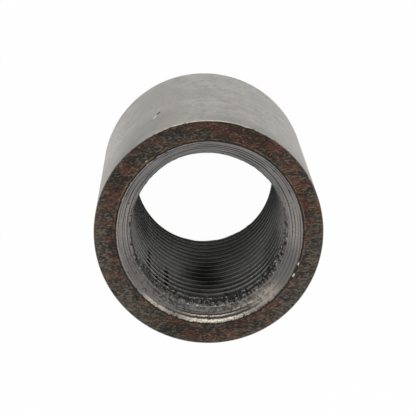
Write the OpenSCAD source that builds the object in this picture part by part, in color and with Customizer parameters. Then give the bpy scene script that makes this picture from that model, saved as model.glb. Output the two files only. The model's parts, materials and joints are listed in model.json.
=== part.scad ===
// Straight steel pipe coupling, 1/2 inch size, open right through.
// One turned piece, standing on one end: the origin is the middle of the lower end face
// and +Z runs up the bore. The two ends are alike, so each feature of an end is cut twice.

/* [Thread] */
// Diameter over the thread roots
thread_root_d = 21.1; // [8:0.01:60]
// Number of threads in one inch of length
threads_per_inch = 14; // [8:1:27]
// Depth of the thread as a share of its pitch
thread_depth_share = 0.8; // [0.5:0.01:0.8]

/* [Body] */
// Overall length, from end face to end face
body_length = 34; // [20:0.1:90]
// Wall thickness outside the thread roots
root_wall = 2.95; // [2:0.01:10]
// Chamfer that breaks the outer edge of each end
edge_break = 0.1; // [0.05:0.05:0.5]

/* [Mouths] */
// Radial clearance between the thread roots and the rim of the countersink
mouth_clearance = 0.5; // [0:0.05:1]
// Full angle of the countersink
countersink_angle = 90; // [60:1:120]

/* [Hidden] */
mm_per_inch = 25.4;
pitch = mm_per_inch / threads_per_inch;
thread_depth = thread_depth_share * pitch;

body_r = thread_root_d / 2 + root_wall;
bore_r = thread_root_d / 2 - thread_depth;
mouth_r = thread_root_d / 2 + mouth_clearance;
countersink_depth = (mouth_r - bore_r) / tan(countersink_angle / 2);

// How far a cutting tool runs past the face that it cuts
overrun = 1;
round_steps = 180;

// Half of the bar's section, from the axis out to the wall, with both outer corners broken
module bar_section() {
    polygon([
        [0, 0],
        [body_r - edge_break, 0],
        [body_r, edge_break],
        [body_r, body_length - edge_break],
        [body_r - edge_break, body_length],
        [0, body_length],
    ]);
}

module bar() {
    rotate_extrude($fn = round_steps) bar_section();
}

// The tapping hole, whose wall is where the crests of the thread lie
module tapping_hole() {
    translate([0, 0, -overrun])
        cylinder(h = body_length + 2 * overrun, r = bore_r, $fn = round_steps);
}

// Cone that opens the lower end of the hole. It keeps its angle past the face, so that the
// rim is cut at exactly mouth_r, and stops where it meets the wall of the tapping hole.
module countersink() {
    growth = tan(countersink_angle / 2);
    translate([0, 0, -overrun])
        cylinder(
            h = countersink_depth + overrun,
            r1 = mouth_r + overrun * growth,
            r2 = bore_r,
            $fn = round_steps
        );
}

// The same end feature on both ends
module on_both_ends() {
    children();
    translate([0, 0, body_length]) mirror([0, 0, 1]) children();
}

module coupling() {
    color("dimgray")
        difference() {
            bar();
            tapping_hole();
            on_both_ends() countersink();
        }
}

coupling();
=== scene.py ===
# %% [markdown]
# # A threaded pipe coupling, seen down its bore
# The object is a short steel sleeve that joins two pipes. It was cut from a bar, drilled, tapped
# from end to end and countersunk at both mouths, and its sawn end faces have begun to rust.
# The notebook loads the plain turned solid, gives it its thread and its worn skin, and lights it.

# %% Load the turned solid
import json
import math

import bpy
from mathutils import Matrix, Vector


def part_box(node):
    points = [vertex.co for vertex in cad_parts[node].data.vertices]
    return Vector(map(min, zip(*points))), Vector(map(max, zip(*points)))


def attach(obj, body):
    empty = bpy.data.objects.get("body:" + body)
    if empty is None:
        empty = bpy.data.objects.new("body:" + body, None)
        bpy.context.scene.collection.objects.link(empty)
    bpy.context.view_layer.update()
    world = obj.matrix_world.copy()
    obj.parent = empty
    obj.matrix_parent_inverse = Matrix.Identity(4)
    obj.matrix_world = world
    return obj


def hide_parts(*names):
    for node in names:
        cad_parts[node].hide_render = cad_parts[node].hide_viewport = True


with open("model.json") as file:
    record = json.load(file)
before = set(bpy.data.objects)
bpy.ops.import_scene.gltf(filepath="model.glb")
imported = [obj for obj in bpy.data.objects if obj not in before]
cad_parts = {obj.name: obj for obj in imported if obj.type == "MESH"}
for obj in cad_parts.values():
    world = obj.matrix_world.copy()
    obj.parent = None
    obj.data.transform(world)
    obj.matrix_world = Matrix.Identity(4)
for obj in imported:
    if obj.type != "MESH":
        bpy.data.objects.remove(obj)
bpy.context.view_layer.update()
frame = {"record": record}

# %% [markdown]
# ## Sizes
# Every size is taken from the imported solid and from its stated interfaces, so the skin made here
# always fits the solid. Only the thread, which the plain solid lacks, has numbers of its own: a
# half inch pipe thread has 14 turns to the inch, and is 0.8 of its pitch deep.

# %% Sizes of the sleeve
mm = 0.001
record = frame["record"]
interfaces = {mount["name"]: mount["dims"] for mount in record["mounts"]}

low_corner, high_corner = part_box("coupling")
length = high_corner.z - low_corner.z
body_r = min(-low_corner.x, -low_corner.y, high_corner.x, high_corner.y)
bore_r = interfaces["thread_top"]["r_mm"] * mm
edge_break = (length - interfaces["barrel"]["length_mm"] * mm) / 2
cone_depth = (length - interfaces["thread_top"]["length_mm"] * mm) / 2
mouth_r = bore_r + cone_depth
face_r = body_r - edge_break

pitch = 25.4 * mm / 14
thread_depth = 0.8 * pitch
print(f"length {length / mm:.2f}, outside radius {body_r / mm:.3f}, crests at {bore_r / mm:.3f} mm")
print(f"mouth radius {mouth_r / mm:.3f}, thread pitch {pitch / mm:.3f}, depth {thread_depth / mm:.3f} mm")

# %% [markdown]
# ## Where the camera stands
# The photograph looks steeply down the bore: the camera was fitted to the outlines of the end
# face, of the mouth and of the far rim. What is seen at a place on the rim is given as on a clock
# face, in degrees clockwise from the picture's top, and `turn_at` changes that into the angle
# round the sleeve as a share of a full turn.

# %% The fitted camera
picture_width = 416
focal_pixels = 1798.4
sensor_width = 36.0
camera_place = Vector((-0.17, -52.153, 238.456)) * mm
camera_elevation = math.radians(76.497)
camera_roll = math.radians(-175.153)
top_of_rim = math.radians(-94.85)


def turn_at(clock_degrees):
    return (top_of_rim - math.radians(clock_degrees)) / math.tau % 1.0


print("the top of the rim lies at", round(turn_at(0), 3), "of a turn")

# %% [markdown]
# ## Formulas as nodes
# A node tree is a formula drawn as boxes. This small class writes the boxes for us: a `Field` is a
# number that flows through the tree, and adding or multiplying two of them adds a Math node. It
# serves the geometry and the materials alike, so both read as plain arithmetic.


# %% The field helper
class Field:
    def __init__(self, tree, socket):
        self.tree = tree
        self.socket = socket

    def math(self, operation, *others):
        node = self.tree.nodes.new("ShaderNodeMath")
        node.operation = operation
        for place, value in enumerate((self, *others)):
            connect(self.tree, value, node.inputs[place])
        return Field(self.tree, node.outputs[0])

    def __add__(self, other):
        return self.math("ADD", other)

    def __radd__(self, other):
        return self.math("ADD", other)

    def __sub__(self, other):
        return self.math("SUBTRACT", other)

    def __rsub__(self, other):
        return self.math("MULTIPLY", -1.0).math("ADD", other)

    def __mul__(self, other):
        return self.math("MULTIPLY", other)

    def __rmul__(self, other):
        return self.math("MULTIPLY", other)

    def __truediv__(self, other):
        return self.math("DIVIDE", other)

    def size(self):
        return self.math("ABSOLUTE")

    def least(self, other):
        return self.math("MINIMUM", other)

    def most(self, other):
        return self.math("MAXIMUM", other)

    def clamped(self, low=0.0, high=1.0):
        return self.most(low).least(high)

    def step(self, low, high):
        """0 below low, 1 above high and a smooth rise between, or a fall where low is the larger."""
        node = self.tree.nodes.new("ShaderNodeMapRange")
        node.interpolation_type = "SMOOTHSTEP"
        connect(self.tree, self, node.inputs["Value"])
        rising = low < high
        node.inputs["From Min"].default_value = min(low, high)
        node.inputs["From Max"].default_value = max(low, high)
        node.inputs["To Min"].default_value = 0.0 if rising else 1.0
        node.inputs["To Max"].default_value = 1.0 if rising else 0.0
        return Field(self.tree, node.outputs["Result"])

    def mixed(self, low, high):
        """low where this field is 0, high where it is 1."""
        return self * (high - low) + low


def connect(tree, value, target):
    if isinstance(value, Field):
        tree.links.new(value.socket, target)
    else:
        target.default_value = value


def vector_of(tree, x, y, z):
    node = tree.nodes.new("ShaderNodeCombineXYZ")
    for place, value in enumerate((x, y, z)):
        connect(tree, value, node.inputs[place])
    return node.outputs[0]


def noise(tree, vector, scale, detail=2.0, roughness=0.5, seed=0.0):
    """Soft noise about 0.5, in lumps 1 / scale wide."""
    node = tree.nodes.new("ShaderNodeTexNoise")
    node.noise_dimensions = "4D"
    tree.links.new(vector, node.inputs["Vector"])
    node.inputs["W"].default_value = seed
    node.inputs["Scale"].default_value = scale
    node.inputs["Detail"].default_value = detail
    node.inputs["Roughness"].default_value = roughness
    return Field(tree, node.outputs[0])


print("formulas can be written")

# %% [markdown]
# ## Marks with a place on the clock
# Chips, scratches, bright and dark patches each sit somewhere on the clock. A dent moves the mesh
# and a stain only changes the colour, but both are found in the same way, so one set of helpers
# serves the geometry and the finishes.
#
# The far end carries the same wear as the near one, turned by some degrees, so that nobody takes
# the two ends for copies.

# %% Helpers for marks
far_wear_turn = 0.27


def signed_degrees(turn, clock_degrees):
    """How far a field of turns lies past a place on the clock, anticlockwise, in degrees."""
    return ((turn + (0.5 - turn_at(clock_degrees))).math("FRACT") - 0.5) * 360.0


def arc(turn, clock_degrees, reach):
    """1 at a place on the clock, fading to 0 at so many degrees on both sides."""
    return signed_degrees(turn, clock_degrees).size().step(reach, 0.25 * reach)


def patchwork(turn, across, patches):
    """The sum of soft patches, each a place on the clock, a reach in degrees, a middle and a half
    width in the units of the field across, and a strength."""
    total = 0.0
    for clock, reach, middle, half, strength in patches:
        strip = (across - middle).size().step(half, 0.25 * half)
        total = arc(turn, clock, reach) * strip * strength + total
    return total


print("the far end's wear is turned by", round(360 * far_wear_turn), "degrees")

# %% [markdown]
# ## The sheets that the skin is made of
# The real sleeve is turned, so its section is the same all round apart from the thread and the
# wear. A grid of faces is wrapped round the axis: one side of the grid counts columns round the
# sleeve, the other counts rows along the section. A band is such a grid between two circles, and
# a circle's radius may be a formula too, so that a chip in a rim moves both bands that meet there.
#
# A formula in a geometry tree is worked out anew for each grid that it moves. So all bands of a
# tree share one set of boxes for the place on the grid and the direction round the axis.
#
# What a finish has to know about the shape, such as how far a point lies from the worn rim, is
# noted on the points of the mesh as a named attribute, which the material reads back.

# %% Columns, rows and bands
columns = 400
finishes = {"wall": 0, "face": 1, "cone": 2, "thread": 3}


def chain(tree, kind, mesh, **settings):
    """Adds a geometry node and leads the mesh into it."""
    node = tree.nodes.new(kind)
    for name, value in settings.items():
        setattr(node, name, value)
    tree.links.new(mesh, node.inputs[0])
    return node


class Wrap:
    """What all bands of one tree share: the share of the way across the grid's columns and along
    its rows, and the turn round the axis."""

    def __init__(self, tree, first_turn=0.0):
        self.tree = tree
        place = tree.nodes.new("GeometryNodeInputPosition")
        parts = tree.nodes.new("ShaderNodeSeparateXYZ")
        tree.links.new(place.outputs[0], parts.inputs[0])
        self.across = Field(tree, parts.outputs[0]) + 0.5
        self.share = Field(tree, parts.outputs[1]) + 0.5
        self.turn = self.across + first_turn
        angle = self.turn * math.tau
        self.cosine = angle.math("COSINE")
        self.sine = angle.math("SINE")

    def point(self, radius, height):
        return vector_of(self.tree, self.cosine * radius, self.sine * radius, height)

    def sheet(self, rows, radius, height, finish, **notes):
        """A grid with each point set on its circle, its notes, and the finish of its faces."""
        grid = self.tree.nodes.new("GeometryNodeMeshGrid")
        grid.inputs["Size X"].default_value = 1.0
        grid.inputs["Size Y"].default_value = 1.0
        grid.inputs["Vertices X"].default_value = columns + 1
        grid.inputs["Vertices Y"].default_value = rows + 1
        mesh = grid.outputs["Mesh"]
        for name, value in notes.items():
            note = chain(self.tree, "GeometryNodeStoreNamedAttribute", mesh,
                         data_type="FLOAT", domain="POINT")
            note.inputs["Name"].default_value = name
            connect(self.tree, value, note.inputs["Value"])
            mesh = note.outputs[0]
        move = chain(self.tree, "GeometryNodeSetPosition", mesh)
        self.tree.links.new(self.point(radius, height), move.inputs["Position"])
        label = chain(self.tree, "GeometryNodeStoreNamedAttribute", move.outputs[0],
                      data_type="INT", domain="FACE")
        label.inputs["Name"].default_value = "finish"
        label.inputs["Value"].default_value = finishes[finish]
        return label.outputs[0]

    def band(self, rows, finish, start, end, relief=None, inward=(0.0, 0.0)):
        """Faces between two circles. A circle is its radius, its height and its way from the rim
        along the section. The relief sinks the surface along the inward direction."""
        radius, height, from_rim = (self.share.mixed(a, b) for a, b in zip(start, end))
        if relief:
            sunk = relief(self, radius, height, from_rim)
            radius = radius + sunk * inward[0]
            height = height + sunk * inward[1]
        return self.sheet(rows, radius, height, finish, from_rim=from_rim)

    def hem(self, rows):
        """1 in a band of so many rows, and 0 on its two outer circles."""
        return (self.share * rows).clamped() * ((1.0 - self.share) * rows).clamped()


print(columns, "columns of", round(math.tau * body_r / columns / mm, 3), "mm at the outside")

# %% [markdown]
# ## The thread
# A pipe thread could be drawn as a curve and swept, but a swept groove has to be cut out of the
# bore and leaves a rough seam. Instead the rows of the grid themselves climb like the thread: row
# by row they lie on the crest, the flank, the root and the next flank, so every edge of the
# thread is a clean line of the mesh. The grid's two sides meet one pitch apart.
#
# The tap tore the first turns near the front mouth: their crests are broken by small pits, and
# at the sides ragged teeth stand where the countersink meets the thread.

# %% Rows of the thread
rows_per_turn = 8
crest_bunching = 0.9
first_groove = 0.59
join_depth = 0.82 * cone_depth
join_r = mouth_r - join_depth
threaded_length = length - 2 * join_depth
thread_rows = rows_per_turn * (math.ceil(threaded_length / pitch) + 1)
thread_turn = round(first_groove * columns) / columns
bunching = crest_bunching / (2 * math.tau)
crest_half = 1 / rows_per_turn - bunching * math.sin(2 * math.tau / rows_per_turn)

print(thread_rows, "rows for", round(threaded_length / pitch, 2), "turns of thread")

# %% Torn places of the thread
toothed_arcs = [(105.0, 42.0), (262.0, 30.0)]
pit_depth = 0.17 * mm
tooth_depth = 0.2 * mm


def tears(wrap, below, grit, patches):
    """Pits in the crests, and teeth where the countersink ends: each from 0 to 1."""
    past_join = below - join_depth
    front_half = signed_degrees(wrap.turn, 165.0).size().step(110.0, 60.0).mixed(0.15, 1.0)
    reach = (past_join + (patches - 0.5) * (6.0 * mm)).step(4.4 * mm, 1.4 * mm)
    pits = grit.step(0.48, 0.57) * reach * front_half

    toothed = 0.0
    for clock, reach in toothed_arcs:
        toothed = arc(wrap.turn, clock, reach) + toothed
    comb = noise(wrap.tree, wrap.point(bore_r, past_join * 0.4), 2300, detail=1.0, seed=31.0)
    teeth = comb.step(0.5, 0.57) * past_join.step(0.75 * mm, 0.2 * mm) * toothed
    return pits, teeth.clamped()


# %% [markdown]
# ## The tree of the thread
# A geometry tree is a recipe that Blender works out when the object is evaluated. The next cell
# has the three lines of housekeeping that every tree here needs: its inputs, its way out, and a
# join of several meshes. Then the thread is written as one long formula of the place on the grid.

# %% Helpers for trees


def new_tree(name, *input_names):
    """An empty geometry tree, the fields of its inputs, and their identifiers by name."""
    tree = bpy.data.node_groups.new(name, "GeometryNodeTree")
    identifiers = {}
    for input_name in input_names:
        socket = tree.interface.new_socket(input_name, in_out="INPUT", socket_type="NodeSocketFloat")
        identifiers[input_name] = socket.identifier
    tree.interface.new_socket("Mesh", in_out="OUTPUT", socket_type="NodeSocketGeometry")
    entry = tree.nodes.new("NodeGroupInput")
    fields = [Field(tree, entry.outputs[input_name]) for input_name in input_names]
    return tree, fields, identifiers


def finish_tree(tree, mesh):
    leave = tree.nodes.new("NodeGroupOutput")
    tree.links.new(mesh, leave.inputs["Mesh"])
    return tree


def joined(tree, meshes):
    node = tree.nodes.new("GeometryNodeJoinGeometry")
    for mesh in meshes:
        tree.links.new(mesh, node.inputs[0])
    return node.outputs[0]


# %% The threaded bore as a tree
closing_length = 0.12 * mm
run_in_length = 1.6 * mm


def threaded_bore():
    tree, (groove_depth,), _ = new_tree("threaded_bore", "Thread depth")
    wrap = Wrap(tree, thread_turn)
    row = wrap.share * (thread_rows / rows_per_turn)
    along = row - (row * (2 * math.tau)).math("SINE") * bunching
    below = ((along - wrap.across) * pitch + join_depth).clamped(join_depth, length - join_depth)
    phase = along.math("FRACT")
    from_crest = phase.least(1.0 - phase)
    groove = ((from_crest - crest_half) / (0.5 - 2 * crest_half)).clamped()

    spot = wrap.point(bore_r, below * 0.35)
    grit = noise(tree, spot, 2900, detail=2.0, roughness=0.6, seed=8.0)
    patches = noise(tree, spot, 1200, detail=2.0, seed=3.0)
    waves = noise(tree, spot, 300, detail=2.0, seed=5.0)
    pits, teeth = tears(wrap, below, grit, patches)

    from_end = (below - join_depth).least((length - join_depth) - below)
    closed = from_end.step(0.0, closing_length)
    cut = (from_end + (patches - 0.5) * (0.4 * mm)).step(0.0, run_in_length) * closed
    worn = pits * pit_depth * (1.0 - groove)
    shiver = ((waves - 0.5) * 0.05 + (grit - 0.5) * 0.02) * mm
    thread_r = groove * groove_depth * cut + bore_r
    cone_r = (mouth_r - below).most(below + (mouth_r - length))
    radius = thread_r.most(cone_r) + (worn + shiver + teeth * tooth_depth) * closed
    torn = pits.most(teeth) * closed
    return finish_tree(tree, wrap.sheet(thread_rows, radius, length - below, "thread", torn=torn))


print("the thread reaches its full depth", round(run_in_length / mm, 1), "mm past the countersink")

# %% [markdown]
# ## Rims, countersinks and faces
# The countersinks were cut with a tool that chattered, so they carry shallow rings. They also run
# a little out of true: on one side the rim lies farther out than on the other. The rims are
# serrated and have small chips, and the end faces are sawn and pitted. Each of these is a relief,
# a depth below the turned shape, or a wobble in the radius of a circle.
#
# The two ends are alike, so one tree makes both. Its inputs turn the wear round at the far end.

# %% Chips, rings and dents
lip_width = 0.14 * mm
lip_drop = 0.05 * mm
rim_band = 0.3 * mm
run_out = 0.12 * mm
run_out_clock = 95.0
serration = 0.35 * mm
slope = math.sqrt(0.5)
cone_slant = cone_depth / slope

# Each chip or dent is a place on the clock, a reach in degrees and a size in mm
rim_chips = [(113.0, 1.6, 0.20), (119.5, 1.5, 0.16), (138.0, 1.4, 0.16), (142.5, 1.2, 0.14),
             (147.0, 1.6, 0.18), (151.0, 1.2, 0.12), (174.0, 1.2, 0.08), (182.0, 1.4, 0.09),
             (205.0, 1.2, 0.09), (292.0, 1.4, 0.12), (303.0, 1.3, 0.10), (320.0, 1.6, 0.14),
             (327.0, 1.8, 0.12), (334.0, 1.4, 0.12), (345.0, 1.2, 0.08)]
edge_dents = [(248.0, 1.4, 0.10), (225.0, 5.0, 0.08), (203.0, 2.0, 0.10), (61.0, 1.5, 0.08),
              (18.0, 1.8, 0.07), (301.0, 1.6, 0.06)]
# Each chatter ring is a place on the clock, a reach in degrees, a middle and a half width as shares
# of the way from the rim to the bore, and a depth in mm
chatter_rings = [(174.0, 40.0, 0.29, 0.06, 0.05), (176.0, 40.0, 0.45, 0.06, 0.05),
                 (182.0, 34.0, 0.56, 0.04, 0.03)]

print(len(rim_chips), "chips in each rim,", len(edge_dents), "dents in each outer edge")

# %% Reliefs of an end
cone_rows = 20
face_rows = 13


def summed(turn, marks):
    """Lengths of small marks, each a place on the clock, a reach in degrees and a size in mm."""
    total = 0.0
    for clock, reach, size in marks:
        total = arc(turn, clock, reach) * (size * mm) + total
    return total


def rim_wobble(wrap):
    """How far the worn rim lies outside the true circle."""
    sway = ((wrap.turn - turn_at(run_out_clock)) * math.tau).math("COSINE")
    saw = noise(wrap.tree, wrap.point(mouth_r, 0.0), 2200, detail=2.0, seed=30.0) - 0.5
    strong = arc(wrap.turn, 178, 90.0).mixed(0.2, 1.0)
    return sway * run_out + saw * strong * serration


def rings_of_cone(wrap, radius, height, from_rim):
    """Fine rings all round, and the deeper ones where the tool chattered."""
    drawn = vector_of(wrap.tree, wrap.cosine, wrap.sine, from_rim * 4000.0)
    fine = noise(wrap.tree, drawn, 0.9, detail=3.0, roughness=0.7, seed=2.0).step(0.45, 0.7)
    chatter = patchwork(wrap.turn, from_rim / -cone_slant, chatter_rings)
    return (fine * 0.015 + chatter) * wrap.hem(cone_rows) * mm


def pits_of_face(wrap, radius, height, from_rim):
    """Saw grain and shallow rust pits."""
    plain = wrap.point(radius, height)
    grain = noise(wrap.tree, plain, 2600, detail=3.0, roughness=0.6, seed=11.0)
    pits = noise(wrap.tree, plain, 1100, detail=2.0, seed=12.0)
    return (grain.step(0.35, 0.75) * 0.03 + pits.step(0.56, 0.72) * 0.04) * wrap.hem(face_rows) * mm


# %% One end of the sleeve as a tree


def end_of_sleeve():
    """Countersink, lip, face and broken edge of one end, from the bore outwards. The height of the
    face and the way into the steel, up or down, are inputs, and so is the turn of the wear."""
    tree, (end, into, turned), _ = new_tree("end_of_sleeve", "Face height", "Way in", "Turned")
    wrap = Wrap(tree)
    wrap.turn = wrap.turn + turned
    wobble = rim_wobble(wrap)
    chips = summed(wrap.turn, rim_chips)
    rim_r = wobble + chips * 0.8 + mouth_r
    sunk_r = wobble + (mouth_r - rim_band * slope)
    outer_r = face_r - summed(wrap.turn, edge_dents)

    join = (join_r, end + into * join_depth, -join_depth / slope)
    sunk = (sunk_r, end + into * (rim_band * slope), -rim_band)
    rim = (rim_r, end + into * lip_drop, 0.0)
    lip = (rim_r + chips * 0.2 + lip_width, end, lip_width)
    shoulder = (outer_r, end, outer_r - rim_r)
    edge = (body_r, end + into * edge_break, outer_r - rim_r)
    bands = [
        wrap.band(cone_rows, "cone", join, sunk, rings_of_cone, (slope, into * slope)),
        wrap.band(3, "cone", sunk, rim),
        wrap.band(2, "face", rim, lip),
        wrap.band(face_rows, "face", lip, shoulder, pits_of_face, (0.0, into)),
        wrap.band(2, "wall", shoulder, edge),
    ]
    return finish_tree(tree, joined(tree, bands))


print("the rim runs", round(run_out / mm, 2), "mm out of true")

# %% [markdown]
# ## The outside
# The outside is nearly smooth. It has a gentle unevenness, and one nick near the front, where
# something hard slipped: a slanting slit. The rows are closer there.

# %% Nick and wall
nick_clock = 333.8
nick_below = 12.0 * mm
nick_slant = math.radians(72)
nick_half_length = 0.65 * mm
nick_half_width = 0.16 * mm
wall_rows = (6, 12, 4)


def from_nick(turn, below):
    """0 in the middle of the nick and 1 on its outline, and the ways along and across it in metres."""
    aside = signed_degrees(turn, nick_clock) * (math.radians(-1.0) * body_r)
    lower = below - nick_below
    lengthways = aside * math.cos(nick_slant) + lower * math.sin(nick_slant)
    crossways = lower * math.cos(nick_slant) - aside * math.sin(nick_slant)
    long_share = lengthways / nick_half_length
    wide_share = crossways / nick_half_width
    return (long_share * long_share + wide_share * wide_share).math("SQRT"), lengthways, crossways


def wear_of_wall(wrap, radius, height, from_rim):
    """A gentle unevenness that fades at both ends, and the nick."""
    swell = noise(wrap.tree, wrap.point(radius, height), 220, detail=2.0, seed=21.0)
    spread, _, _ = from_nick(wrap.turn, length - height)
    from_end = (height - edge_break).least((length - edge_break) - height)
    return (swell * 0.016 + spread.step(1.3, 0.4) * 0.12) * mm * from_end.step(0.0, 0.5 * mm)


def outside():
    """The wall from bottom to top, with closer rows where the nick is."""
    tree, _, _ = new_tree("outside")
    wrap = Wrap(tree)
    half = 1.0 * mm
    heights = [edge_break, length - nick_below - half, length - nick_below + half, length - edge_break]
    bands = []
    for low, high, rows in zip(heights, heights[1:], wall_rows):
        circles = [(body_r, height, 0.0) for height in (low, high)]
        bands.append(wrap.band(rows, "wall", *circles, wear_of_wall, (-1.0, 0.0)))
    return finish_tree(tree, joined(tree, bands))


print("the nick is", round(2 * nick_half_length / mm, 2), "mm long")

# %% [markdown]
# ## One closed skin
# All bands are joined, and points that fall on each other are merged, which closes every seam.
# Edges that turn sharply stay sharp and the rest is shaded smooth. The finished mesh replaces the
# plain solid: it fills the same box, and it rides on the same body.

# %% Join the bands
sharp_angle = math.radians(32)
merge_distance = 0.0015 * mm


def with_soft_edges(tree, mesh):
    """Smooth shading wherever two faces meet at less than the sharp angle."""
    angles = tree.nodes.new("GeometryNodeInputMeshEdgeAngle")
    soft = Field(tree, angles.outputs["Unsigned Angle"]).math("LESS_THAN", sharp_angle)
    smooth = chain(tree, "GeometryNodeSetShadeSmooth", mesh, domain="EDGE")
    connect(tree, soft, smooth.inputs["Shade Smooth"])
    return smooth.outputs[0]


def with_finishes(tree, mesh, materials):
    """Each face gets the material of the finish that its sheet noted."""
    label = tree.nodes.new("GeometryNodeInputNamedAttribute")
    label.data_type = "INT"
    label.inputs["Name"].default_value = "finish"
    number = Field(tree, label.outputs["Attribute"])
    for finish, wanted in finishes.items():
        painted = chain(tree, "GeometryNodeSetMaterial", mesh)
        painted.inputs["Material"].default_value = materials[finish]
        match = (number - wanted).size().math("LESS_THAN", 0.5)
        connect(tree, match, painted.inputs["Selection"])
        mesh = painted.outputs[0]
    return mesh


def sleeve_tree(materials):
    tree, (groove_depth,), identifiers = new_tree("turned_and_tapped_sleeve", "Thread depth")

    def made(group, **inputs):
        node = tree.nodes.new("GeometryNodeGroup")
        node.node_tree = group
        for name, value in inputs.items():
            connect(tree, value, node.inputs[name.replace("_", " ")])
        return node.outputs["Mesh"]

    end = end_of_sleeve()
    near = made(end, Face_height=length, Way_in=-1.0, Turned=0.0)
    near = chain(tree, "GeometryNodeFlipFaces", near).outputs[0]
    far = made(end, Face_height=0.0, Way_in=1.0, Turned=far_wear_turn)
    bore = made(threaded_bore(), Thread_depth=groove_depth)
    skin = joined(tree, [bore, near, far, made(outside())])
    merged = chain(tree, "GeometryNodeMergeByDistance", skin)
    merged.inputs["Distance"].default_value = merge_distance
    smooth = with_soft_edges(tree, merged.outputs[0])
    real = chain(tree, "GeometryNodeRealizeInstances", smooth).outputs[0]
    return finish_tree(tree, with_finishes(tree, real, materials)), identifiers


# %% Keep what a tree makes as a plain mesh


def made_by(tree, inputs, name):
    """Runs a tree once and keeps what it made as a plain mesh."""
    maker = bpy.data.objects.new("maker", bpy.data.meshes.new("maker"))
    bpy.context.scene.collection.objects.link(maker)
    modifier = maker.modifiers.new("nodes", "NODES")
    modifier.node_group = tree
    for identifier, value in inputs.items():
        modifier[identifier] = value
    depsgraph = bpy.context.evaluated_depsgraph_get()
    mesh = bpy.data.meshes.new_from_object(maker.evaluated_get(depsgraph), depsgraph=depsgraph)
    bpy.data.objects.remove(maker)
    mesh.name = name
    piece = bpy.data.objects.new(name, mesh)
    bpy.context.scene.collection.objects.link(piece)
    return piece


print("points closer than", merge_distance / mm, "mm are merged")

# %% [markdown]
# ## Finishes
# Four finishes cover the sleeve: satin turned steel outside, brown rust on the sawn end faces,
# bare cut steel in the countersinks, and dark oily steel in the thread. Each is a formula of the
# place on the object, so it has no seam and needs no picture. The next cell makes what all four
# need: the place of a point, a blend of two colours, and a bump.

# %% Helpers for the finishes


def new_material(name):
    material = bpy.data.materials.new(name)
    material.use_nodes = True
    return material, material.node_tree, material.node_tree.nodes["Principled BSDF"]


class Place:
    """Where a point lies: its coordinates on the object, its distance from the axis, how far it
    is below the top, its turn, and its turn as the wear of its own end counts it."""

    def __init__(self, tree):
        coordinates = tree.nodes.new("ShaderNodeTexCoord")
        parts = tree.nodes.new("ShaderNodeSeparateXYZ")
        self.spot = coordinates.outputs["Object"]
        tree.links.new(self.spot, parts.inputs[0])
        self.x, self.y, self.z = (Field(tree, parts.outputs[i]) for i in range(3))
        self.radius = (self.x * self.x + self.y * self.y).math("SQRT")
        self.below = length - self.z
        self.turn = self.y.math("ARCTAN2", self.x) / math.tau
        self.wear_turn = self.turn + self.z.math("LESS_THAN", length / 2) * far_wear_turn


def noted(tree, name):
    """A number that the geometry noted on the points of the mesh."""
    node = tree.nodes.new("ShaderNodeAttribute")
    node.attribute_name = name
    return Field(tree, node.outputs["Fac"])


def blended(tree, share, first, second):
    """Two colours, or sockets that carry one, mixed by a field."""
    node = tree.nodes.new("ShaderNodeMix")
    node.data_type = "RGBA"
    connect(tree, share, node.inputs[0])
    for value, target in ((first, node.inputs[6]), (second, node.inputs[7])):
        if isinstance(value, tuple):
            target.default_value = (*value, 1.0)
        else:
            tree.links.new(value, target)
    return node.outputs[2]


def bumped(tree, height, strength):
    """A bump whose height field is in metres."""
    node = tree.nodes.new("ShaderNodeBump")
    node.inputs["Strength"].default_value = strength
    node.inputs["Distance"].default_value = 1.0
    connect(tree, height, node.inputs["Height"])
    return node.outputs[0]


print("finishes read the place on the object and the notes of the geometry")

# %% [markdown]
# ## Satin turned steel
# The outside was turned and has been handled: a mid grey satin with fine lines round it, cloudy
# dull and bright patches a few millimetres wide, and a darker, dirtier border behind the front
# face. A metal shows only what it reflects, so its patches are made both in colour and in
# roughness. The slit of the nick is painted dark and isn't metallic, and a bright scratch runs up
# to it.

# %% Satin turned steel
# Each patch is a place on the clock, a reach in degrees, a middle and a half width below the top in
# mm, and a strength
dull_patches = [(328.0, 26.0, 6.0, 9.0, 0.7), (330.0, 22.0, 24.0, 14.0, 0.35), (20.0, 32.0, 1.5, 3.5, 0.6),
                (312.0, 16.0, 1.5, 4.0, 0.7), (62.0, 22.0, 1.5, 4.0, 0.7), (352.0, 14.0, 19.0, 5.0, 0.25)]
bright_streaks = [(0.0, 12.0, 12.0, 0.7, 0.5), (4.0, 9.0, 14.2, 0.5, 0.4), (352.0, 8.0, 10.2, 0.4, 0.35),
                  (16.0, 9.0, 24.0, 1.0, 0.4), (298.0, 14.0, 20.0, 14.0, 0.5)]


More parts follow.
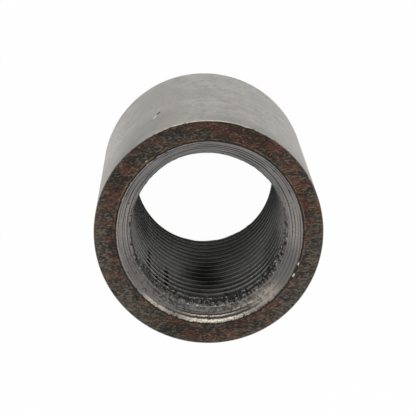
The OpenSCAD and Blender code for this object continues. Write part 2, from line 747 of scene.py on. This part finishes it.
def turned_steel():
    material, tree, shader = new_material("satin_turned_steel")
    place = Place(tree)
    lathe = vector_of(tree, place.x * 120, place.y * 120, place.z * 9000)
    streaks = noise(tree, lathe, 1.0, detail=2.0, seed=1.0)
    upright = vector_of(tree, place.x, place.y, place.z * 0.6)
    clouds = noise(tree, upright, 620, detail=4.0, roughness=0.6, seed=2.0)
    specks = noise(tree, place.spot, 2400, detail=3.0, roughness=0.65, seed=3.0)
    below_mm = place.below / mm
    dull = patchwork(place.turn, below_mm, dull_patches) * clouds.step(0.42, 0.58).mixed(0.6, 1.2)
    bright = patchwork(place.turn, below_mm, bright_streaks) * specks.step(0.4, 0.6)

    tone = ((clouds - 0.5) * 4.0 + (streaks - 0.5) * 1.5 + (specks - 0.5) * 3.5 + 0.5).clamped()
    colour = blended(tree, tone, (0.230, 0.223, 0.202), (0.385, 0.372, 0.338))
    warm = noise(tree, upright, 900, detail=2.0, seed=4.0).step(0.44, 0.58)
    colour = blended(tree, warm * 0.35, colour, (0.36, 0.30, 0.27))
    colour = blended(tree, dull.clamped(), colour, (0.19, 0.18, 0.16))
    colour = blended(tree, bright.clamped(), colour, (0.56, 0.55, 0.52))
    spread, lengthways, crossways = from_nick(place.turn, place.below)
    ahead = (lengthways + 1.5 * mm).size().step(0.8 * mm, 0.5 * mm)
    scratch = ahead * crossways.size().step(0.16 * mm, 0.08 * mm)
    slit = spread.step(1.2, 0.9)
    colour = blended(tree, scratch * 0.7, colour, (0.8, 0.78, 0.72))
    # The broken edge is painted: a speckled bright highlight along its upper arc, and dark on the rest.
    broken_edge = place.radius.step(body_r - 0.02 * mm, body_r - 0.04 * mm)
    upper = arc(place.wear_turn, 0.0, 60.0) * specks.step(0.35, 0.55)
    colour = blended(tree, broken_edge, colour, blended(tree, upper, (0.10, 0.09, 0.08), (0.45, 0.43, 0.39)))
    colour = blended(tree, slit, colour, (0.015, 0.014, 0.01))
    tree.links.new(colour, shader.inputs["Base Color"])
    connect(tree, 1.0 - slit, shader.inputs["Metallic"])
    shader.inputs["Specular IOR Level"].default_value = 0.1
    rough = clouds.mixed(0.34, 0.48) + specks * 0.08
    connect(tree, rough, shader.inputs["Roughness"])
    height = streaks * 0.0022 * mm + specks * 0.006 * mm
    tree.links.new(bumped(tree, height, 0.6), shader.inputs["Normal"])
    return material


print(len(dull_patches), "dull patches and", len(bright_streaks), "bright streaks on the wall")

# %% [markdown]
# ## Rust on the sawn faces
# The saw left short grooves that all run one way across the end face, and brown rust sits in
# them. Seen closely it is a field of flecks a fraction of a millimetre long: nearly black, red
# brown, tan, and bare grey where the metal still shows. So four flecks of noise are laid over
# each other, drawn out along the saw's way, and larger patches say where each kind wins.
#
# Rust doesn't mirror, so the shader's specular level is low and the finish isn't metallic. A
# bright tan line, thin and broken, runs round just outside the rim, where the countersink's burr was
# rubbed off. Right at the rim a nearly black line is painted shade, and a few burrs by the rim carry
# painted glints.

# %% Rust on the sawn faces
saw_stretch = 0.45
# Each patch is a place on the clock, a reach in degrees, a middle and a half width beyond the rim
# in mm, and a strength
red_patches = [(18.0, 26.0, 0.9, 1.4, 0.5), (188.0, 24.0, 1.2, 1.3, 0.5), (298.0, 15.0, 1.2, 1.4, 0.5),
               (75.0, 20.0, 0.5, 0.7, 0.5), (262.0, 16.0, 0.6, 0.8, 0.3), (160.0, 14.0, 0.6, 0.7, 0.4)]
grey_patches = [(333.0, 18.0, 1.3, 1.3, 0.3), (115.0, 42.0, 1.4, 1.6, 0.6), (226.0, 20.0, 1.4, 1.6, 0.7),
                (50.0, 16.0, 1.8, 0.8, 0.4), (262.0, 22.0, 1.7, 1.0, 0.7)]
# Each burr with its painted glint is a place on the clock, a reach in degrees, a middle and a half
# width beyond the rim
painted_burr_glints = [(109.5, 1.3, 0.0, 0.2, 1.0), (117.0, 1.5, 0.02, 0.24, 1.0), (320.0, 0.9, 0.16, 0.12, 0.45),
                (20.0, 0.9, 0.6, 0.12, 0.15)]


def rusted_face():
    material, tree, shader = new_material("rusted_sawn_face")
    place = Place(tree)
    beyond_mm = noted(tree, "from_rim") / mm
    sawn = vector_of(tree, place.x * saw_stretch, place.y, place.z)
    patches = noise(tree, sawn, 560, detail=4.0, roughness=0.65, seed=5.0)
    coarse = noise(tree, sawn, 2000, detail=3.0, roughness=0.65, seed=16.0)
    fine = noise(tree, sawn, 6000, detail=1.0, roughness=0.6, seed=6.0)
    flecks = noise(tree, sawn, 4200, detail=2.0, roughness=0.65, seed=26.0)
    outer = place.radius.step(face_r - 1.5 * mm, face_r - 0.5 * mm)
    outer = outer * arc(place.wear_turn, 5.0, 85.0).mixed(1.0, -1.5)

    rusty = patchwork(place.wear_turn, beyond_mm, red_patches)
    grey = patchwork(place.wear_turn, beyond_mm, grey_patches)
    red = ((patches - 0.5) * 5.0 + (flecks - 0.5) * 3.0 + 0.55 + rusty - grey * 0.7 - outer * 0.2).clamped()
    colour = blended(tree, red, (0.044, 0.044, 0.036), (0.086, 0.036, 0.021))
    dark = (coarse - 0.5) * -4.0 + (patches - 0.5) * -5.0 + (fine - 0.5) * -5.0
    dark = (dark + 0.4 + rusty * 0.7 - grey * 0.5 - outer * 0.2).clamped()
    colour = blended(tree, dark * 0.9, colour, (0.010, 0.009, 0.007))
    pale = (flecks - 0.5) * 6.0 + (fine - 0.5) * 4.0 + (coarse - 0.5) * 2.0
    pale = (pale + grey * 0.5 - rusty * 0.6 + outer * 0.2 - 0.1).clamped()
    colour = blended(tree, pale * 0.65, colour, (0.165, 0.130, 0.098))

    broken = noise(tree, place.spot, 900, detail=3.0, seed=7.0).step(0.45, 0.58)
    upper = signed_degrees(place.wear_turn, 15.0).size().step(110.0, 70.0).mixed(0.3, 1.0)
    tan_line = (beyond_mm - 0.21).size().step(0.10, 0.05) * broken * upper
    colour = blended(tree, tan_line * 0.65, colour, (0.20, 0.125, 0.065))
    # A nearly black band right at the rim is painted shade, as under a small step.
    colour = blended(tree, beyond_mm.step(0.11, 0.07) * 0.95, colour, (0.008, 0.007, 0.006))
    # Burrs by the rim, painted as bright glints.
    burr_glints = patchwork(place.wear_turn, beyond_mm, painted_burr_glints)
    colour = blended(tree, (burr_glints * 1.4).clamped(), colour, (0.62, 0.57, 0.47))
    tree.links.new(colour, shader.inputs["Base Color"])
    shader.inputs["Metallic"].default_value = 0.0
    shader.inputs["Specular IOR Level"].default_value = 0.18
    connect(tree, fine.mixed(0.5, 0.8), shader.inputs["Roughness"])
    height = fine * 0.06 * mm + coarse * 0.05 * mm + patches * 0.06 * mm
    tree.links.new(bumped(tree, height, 0.8), shader.inputs["Normal"])
    return material


print(len(red_patches), "rust patches and", len(grey_patches), "grey patches on each face")

# %% [markdown]
# ## Bare cut steel of the countersinks
# The countersinks are the brightest part: steel that was cut and stayed clean. The cutter left
# fine dark rings, and where it chattered there are deeper grooves, painted dark as shade, between
# stripes with painted warm highlights. A strip along the rim is polished in two places at the front
# and carries painted warm highlights there. The upper side of each countersink is painted lighter
# than the lower one, and the rim is painted as a nearly black line of shade. The rings follow the
# rim, which runs out of true, so they are drawn along the noted way from the rim and not along the
# height.

# %% Bare cut steel of the countersinks
# Each patch is a place on the clock, a reach in degrees, a middle and a half width as shares of the
# way from the rim to the bore, and a strength
# The polish patches carry painted warm highlights as well as a lower roughness.
polish_and_highlight_patches = [(176.0, 32.0, 0.12, 0.15, 1.0), (216.0, 14.0, 0.12, 0.15, 0.85),
                    (179.0, 24.0, 0.375, 0.045, 0.95), (160.0, 22.0, 0.52, 0.05, 0.5),
                    (139.0, 15.0, 0.35, 0.45, 0.45), (84.0, 24.0, 0.45, 0.5, 0.3),
                    (277.0, 26.0, 0.45, 0.5, 0.3)]
shaded_patches = [(111.0, 15.0, 0.5, 0.6, 0.4), (243.0, 13.0, 0.5, 0.6, 0.4), (195.0, 40.0, 0.75, 0.2, 0.35)]
line_spacing = 0.4 * mm
cone_pits = [(46.0, 1.5, 0.27, 0.06, 1.0), (62.5, 1.6, 0.25, 0.07, 1.0), (290.0, 1.4, 0.54, 0.06, 1.0),
             (296.0, 1.4, 0.16, 0.06, 0.9), (325.0, 3.0, 0.05, 0.06, 0.8), (333.0, 2.0, 0.06, 0.06, 0.8),
             (113.0, 2.2, 0.05, 0.07, 0.9), (119.5, 1.8, 0.05, 0.06, 0.8), (140.0, 2.0, 0.04, 0.06, 0.9),
             (147.0, 2.4, 0.05, 0.06, 0.8), (152.5, 1.6, 0.04, 0.06, 0.8), (174.0, 1.4, 0.03, 0.05, 0.8)]


def cut_steel():
    material, tree, shader = new_material("bare_cut_steel")
    place = Place(tree)
    from_rim = noted(tree, "from_rim")
    inward = from_rim / -cone_slant
    turn = place.wear_turn
    drawn = vector_of(tree, place.x * 70, place.y * 70, from_rim * 5200)
    rings = noise(tree, drawn, 1.0, detail=3.0, roughness=0.65, seed=8.0)
    sway = noise(tree, vector_of(tree, place.x * 70, place.y * 70, from_rim * 300), 1.0, seed=18.0)
    track = (from_rim / line_spacing + sway * 3.0).math("FRACT")
    kept = noise(tree, vector_of(tree, place.x * 110, place.y * 110, from_rim * 2600), 1.0, seed=17.0)
    clouds = noise(tree, place.spot, 420, detail=3.0, seed=9.0)
    grit = noise(tree, place.spot, 3600, detail=3.0, roughness=0.6, seed=10.0)
    smear = noise(tree, vector_of(tree, place.x * 1900, place.y * 1900, from_rim * 700), 1.0, seed=19.0)

    polish_and_highlight = patchwork(turn, inward, polish_and_highlight_patches).clamped()
    shaded = patchwork(turn, inward, shaded_patches).clamped()
    tone = (rings * 1.1 + clouds * 0.8 - 0.45).clamped()
    # Painted light: the upper side of the countersink is painted lighter than the lower, lamp-lit one.
    upper = signed_degrees(turn, 0).size().step(140.0, 40.0)
    colour = blended(tree, tone, (0.135, 0.127, 0.121), (0.235, 0.222, 0.212))
    colour = blended(tree, upper, colour, blended(tree, tone, (0.245, 0.232, 0.230), (0.35, 0.332, 0.328)))
    colour = blended(tree, shaded * 0.6, colour, (0.09, 0.084, 0.078))
    # Painted warm highlight where the steel is polished.
    painted_highlight = polish_and_highlight * ((grit - 0.5) * 4.0 + (rings - 0.5) * 2.0 + 0.85).clamped()
    colour = blended(tree, painted_highlight, colour, (0.74, 0.65, 0.53))
    drawn_lines = (track - 0.5).size().step(0.24, 0.15) * kept.step(0.41, 0.49) * upper.mixed(0.3, 0.95)
    colour = blended(tree, drawn_lines, colour, (0.03, 0.027, 0.025))
    # The chatter grooves are painted dark, as shade in them.
    chatter = patchwork(turn, inward, chatter_rings) * 25.0
    colour = blended(tree, chatter.clamped() * 0.85, colour, (0.020, 0.017, 0.014))
    colour = blended(tree, grit.step(0.60, 0.68) * 0.7, colour, (0.04, 0.035, 0.032))
    smeared = arc(turn, 185.0, 85.0) * (inward + (smear - 0.5) * 3.5 + (grit - 0.5) * 3.5).step(0.62, 0.80)
    colour = blended(tree, smeared * 0.8, colour, (0.035, 0.032, 0.030))
    # The rim is painted as a nearly black, ragged line of shade.
    ragged = (grit - 0.5) * arc(turn, 165.0, 80.0).mixed(0.3, 0.9)
    edge = (from_rim / mm + ragged).step(-0.15, -0.10)
    colour = blended(tree, edge * 0.95, colour, (0.012, 0.010, 0.008))
    pits = patchwork(turn, inward, cone_pits).clamped()
    colour = blended(tree, pits * 0.9, colour, (0.012, 0.010, 0.009))
    tree.links.new(colour, shader.inputs["Base Color"])
    shader.inputs["Metallic"].default_value = 0.5
    rough = (rings * 0.25 + clouds * 0.2 + 0.28 - polish_and_highlight * 0.15).clamped(0.2, 0.6)
    connect(tree, rough, shader.inputs["Roughness"])
    height = rings * 0.014 * mm + grit * 0.01 * mm
    tree.links.new(bumped(tree, height, 0.6), shader.inputs["Normal"])
    return material


# The polished patches also carry painted highlights.
print(len(polish_and_highlight_patches), "polished patches in each countersink")

# %% [markdown]
# ## Dark oily steel of the thread
# The thread is steel too, but cutting oil and dirt have darkened it. On the front side its crests
# carry a painted highlight and its grooves painted shade, nearly black, and the front turns are
# speckled with torn, shiny bits. Farther down the crests are painted dark and the grooves light,
# against the shading of the turns, and one patch is painted as a pool of light. A dark oil stain
# lies half way down on the front side. The crests are found by their distance from the axis, so
# the bright lines follow the real thread of the mesh.

# %% Dark oily steel of the thread
stain_clock = 181.0
stain_below = 14.5 * mm
stain_reach = 25.0
stain_half = 12.5 * mm
# Each stack of dirt lies in the grooves of some turns: a place on the clock, a reach in degrees, a
# middle and a half length below the top in mm, and a strength
dirt_stacks = [(212.8, 3.0, 8.5, 6.5, 1.2), (230.8, 2.6, 10.3, 6.0, 1.1), (222.0, 2.0, 5.0, 2.5, 0.9),
               (205.0, 2.0, 4.0, 2.0, 0.8), (166.0, 2.4, 6.0, 2.5, 0.8), (128.0, 2.2, 4.0, 3.0, 0.8)]
# A patch of painted light far down: a place on the clock, a reach in degrees, a middle and a half length below
# the top in mm, and a strength
painted_light_patches = [(243.0, 20.0, 27.0, 9.0, 0.45)]
shadow_patches = [(166.0, 40.0, 22.0, 13.0, 0.4), (238.0, 8.0, 22.5, 5.0, 0.4), (118.0, 18.0, 10.0, 9.0, 0.45)]


def oiled_thread():
    material, tree, shader = new_material("oiled_thread_steel")
    place = Place(tree)
    torn = noted(tree, "torn")
    drawn = vector_of(tree, place.x, place.y, place.z * 0.35)
    grit = noise(tree, drawn, 3600, detail=3.0, roughness=0.6, seed=13.0)
    clouds = noise(tree, place.spot, 380, detail=3.0, seed=14.0)
    groove = place.radius.step(bore_r + 0.05 * mm, bore_r + 0.26 * mm)
    crest = place.radius.step(bore_r + 0.12 * mm, bore_r + 0.02 * mm)
    front = place.below.step(6.5 * mm, 2.5 * mm)
    below_mm = place.below / mm
    past_join = place.below.least(place.z) - join_depth
    mottle = noise(tree, drawn, 2300, detail=2.0, roughness=0.6, seed=15.0)
    lines = signed_degrees(place.turn, 165.0).size().step(95.0, 65.0)

    tone = ((clouds - 0.5) * 1.5 + (grit - 0.5) * 2.0 + 0.5).clamped()
    colour = blended(tree, tone, (0.065, 0.064, 0.061), (0.145, 0.142, 0.136))
    across = signed_degrees(place.turn, stain_clock) / stain_reach
    along = (place.below - stain_below) / stain_half
    spread = (across * across + along * along).math("SQRT") + (clouds - 0.5) * 0.8
    stained = spread.step(1.2, 0.05)
    deep_down = place.below.step(8 * mm, 26 * mm)
    # Painted highlight along the crests on the front side.
    crest_highlight = crest * (1.0 - deep_down) * lines * mottle.step(0.40, 0.58).mixed(0.2, 1.0)
    oily = arc(place.turn, stain_clock, 38.0)
    colour = blended(tree, crest_highlight * oily.mixed(0.6, 0.3), colour, (0.33, 0.32, 0.30))
    # Painted shade: the grooves on the front side are painted nearly black.
    colour = blended(tree, groove * deep_down.mixed(0.9, 0.0) * lines, colour, (0.014, 0.014, 0.013))
    # Painted light and shade far down: the crests are painted dark and the grooves light, against the shading
    # of the turns.
    colour = blended(tree, crest * deep_down * 0.85, colour, (0.02, 0.02, 0.019))
    colour = blended(tree, groove * deep_down * 0.95, colour, (0.36, 0.355, 0.345))
    # Painted light: a patch far down is painted lighter.
    painted_light_mask = patchwork(place.turn, below_mm, painted_light_patches).clamped()
    colour = blended(tree, painted_light_mask, colour, (0.40, 0.395, 0.385))
    shadow = patchwork(place.turn, below_mm, shadow_patches).clamped()
    colour = blended(tree, shadow, colour, (0.03, 0.029, 0.028))
    colour = blended(tree, stained * 0.9, colour, (0.012, 0.012, 0.011))
    colour = blended(tree, (1.0 - lines) * 0.85, colour, (0.11, 0.109, 0.105))
    fresh = past_join.step(1.8 * mm, 0.3 * mm) * mottle.step(0.42, 0.54)
    fresh = fresh.most(past_join.step(0.6 * mm, 0.3 * mm) * mottle.step(0.34, 0.42))
    # Painted light: the fresh metal on the upper side is painted lighter than on the lower side.
    cut = arc(place.wear_turn, 0.0, 150.0)
    colour = blended(tree, fresh * 0.8, colour, blended(tree, cut, (0.17, 0.16, 0.15), (0.34, 0.325, 0.32)))
    colour = blended(tree, torn * 0.85, colour, (0.012, 0.011, 0.010))
    colour = blended(tree, grit.step(0.57, 0.64) * front * lines * 0.8, colour, (0.50, 0.48, 0.45))
    dirt = patchwork(place.turn, below_mm, dirt_stacks).clamped() * (1.0 - crest) * mottle.step(0.32, 0.5)
    colour = blended(tree, dirt, colour, (0.006, 0.006, 0.005))
    tree.links.new(colour, shader.inputs["Base Color"])
    # The crests painted dark far down are also made less metallic, so they don't shine.
    bare = 1.0 - (stained * 0.9).most(dirt).most(shadow).most(crest * deep_down * 0.85)
    connect(tree, bare * fresh.mixed(0.75, 0.5), shader.inputs["Metallic"])
    connect(tree, bare * 0.5, shader.inputs["Specular IOR Level"])
    connect(tree, grit.mixed(0.42, 0.55), shader.inputs["Roughness"])
    tree.links.new(bumped(tree, grit * lines * 0.01 * mm, 0.7), shader.inputs["Normal"])
    return material


print("the oil stain is", round(2 * stain_half / mm), "mm long")

# %% [markdown]
# ## The finished sleeve
# Now the tree is built with its four finishes and run once. The size of the thread goes in by the
# identifier of its socket, before Blender evaluates the object for the first time. The mesh then
# rides on the only body and stands for the plain turned solid.

# %% Make the sleeve
materials = {"wall": turned_steel(), "face": rusted_face(), "cone": cut_steel(), "thread": oiled_thread()}
tree, identifiers = sleeve_tree(materials)
sleeve = made_by(tree, {identifiers["Thread depth"]: thread_depth}, "coupling_sleeve")
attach(sleeve, "root")
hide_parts("coupling")
sleeve.data.calc_loop_triangles()
print("sleeve:", len(sleeve.data.vertices), "points,", len(sleeve.data.loop_triangles), "triangles")

# %% [markdown]
# ## Camera
# The camera stands high above the standing sleeve and is rolled upside down, which gives the
# photograph's view of the front rim below and the outside wall above.

# %% Place the camera


def set_camera():
    data = bpy.data.cameras.new("photo_camera")
    data.sensor_width = sensor_width
    data.lens = focal_pixels / picture_width * sensor_width
    data.clip_start = 0.01
    data.clip_end = 20.0
    camera = bpy.data.objects.new("photo_camera", data)
    bpy.context.scene.collection.objects.link(camera)
    forward = Vector((0.0, math.cos(camera_elevation), -math.sin(camera_elevation)))
    level = forward.to_track_quat("-Z", "Y").to_matrix()
    rolled = level @ Matrix.Rotation(-camera_roll, 3, "Z")
    camera.matrix_world = Matrix.Translation(camera_place) @ rolled.to_4x4()
    bpy.context.scene.camera = camera
    return camera


camera = set_camera()
print("lens", round(camera.data.lens, 1), "mm")

# %% [markdown]
# ## Floor and light
# A pale floor and a white surround. The camera and mirror-like rays see white, while the lamps and
# a plain surround light the sleeve, so a colour renders about as it is written. The floor keeps a
# little of its own shaded colour in the mix, so that the sleeve still casts a faint shadow.

# %% White for the camera


def seen_rays(tree):
    """1 for rays that come straight from the camera, or from a mirror or through glass."""
    path = tree.nodes.new("ShaderNodeLightPath")
    seen = Field(tree, path.outputs["Is Camera Ray"])
    for kind in ("Is Glossy Ray", "Is Transmission Ray"):
        seen = seen.most(Field(tree, path.outputs[kind]))
    return seen


def pale_floor(white_share):
    mesh = bpy.data.meshes.new("floor")
    half = 1.5
    corners = [(-half, -half, 0.0), (half, -half, 0.0), (half, half, 0.0), (-half, half, 0.0)]
    mesh.from_pydata(corners, [], [(0, 1, 2, 3)])
    floor = bpy.data.objects.new("floor", mesh)
    bpy.context.scene.collection.objects.link(floor)
    material = bpy.data.materials.new("pale_floor")
    material.use_nodes = True
    tree = material.node_tree
    tree.nodes.clear()
    paint = tree.nodes.new("ShaderNodeBsdfDiffuse")
    paint.inputs["Color"].default_value = (0.85, 0.85, 0.85, 1.0)
    white = tree.nodes.new("ShaderNodeEmission")
    white.inputs["Color"].default_value = (1.0, 1.0, 1.0, 1.0)
    white.inputs["Strength"].default_value = 1.0
    mixer = tree.nodes.new("ShaderNodeMixShader")
    connect(tree, seen_rays(tree) * white_share, mixer.inputs[0])
    tree.links.new(paint.outputs[0], mixer.inputs[1])
    tree.links.new(white.outputs[0], mixer.inputs[2])
    output = tree.nodes.new("ShaderNodeOutputMaterial")
    tree.links.new(mixer.outputs[0], output.inputs[0])
    mesh.materials.append(material)
    return floor


def white_surround(strength):
    world = bpy.data.worlds.new("white_surround")
    world.use_nodes = True
    tree = world.node_tree
    background = tree.nodes["Background"]
    background.inputs["Color"].default_value = (1.0, 1.0, 1.0, 1.0)
    connect(tree, seen_rays(tree).mixed(strength, 1.0), background.inputs["Strength"])
    bpy.context.scene.world = world


floor = pale_floor(0.98)
white_surround(0.55)
print("floor and surround are white to the camera")

# %% Lamps


def soft_lamp(name, azimuth, elevation, distance, width, height, power, colour=(1.0, 1.0, 1.0)):
    """A large square lamp that faces the sleeve. The azimuth turns from +X towards +Y."""
    data = bpy.data.lights.new(name, "AREA")
    data.shape = "RECTANGLE"
    data.size = width
    data.size_y = height
    data.energy = power
    data.color = colour
    lamp = bpy.data.objects.new(name, data)
    bpy.context.scene.collection.objects.link(lamp)
    azimuth, elevation = math.radians(azimuth), math.radians(elevation)
    away = Vector((math.cos(azimuth) * math.cos(elevation), math.sin(azimuth) * math.cos(elevation),
                   math.sin(elevation)))
    target = Vector((0.0, 0.0, length / 2))
    lamp.location = target + away * distance
    lamp.rotation_euler = (-away).to_track_quat("-Z", "Y").to_euler()
    return lamp


soft_lamp("front_lamp", -90, 18, 0.5, 0.45, 0.18, 0.4, (1.0, 0.96, 0.90))
soft_lamp("side_lamp", 180, 30, 0.6, 0.3, 0.3, 0.5)
soft_lamp("top_lamp", 60, 70, 0.7, 0.4, 0.4, 1.2)
bpy.context.scene.view_settings.view_transform = "Standard"
print("the stage is lit")
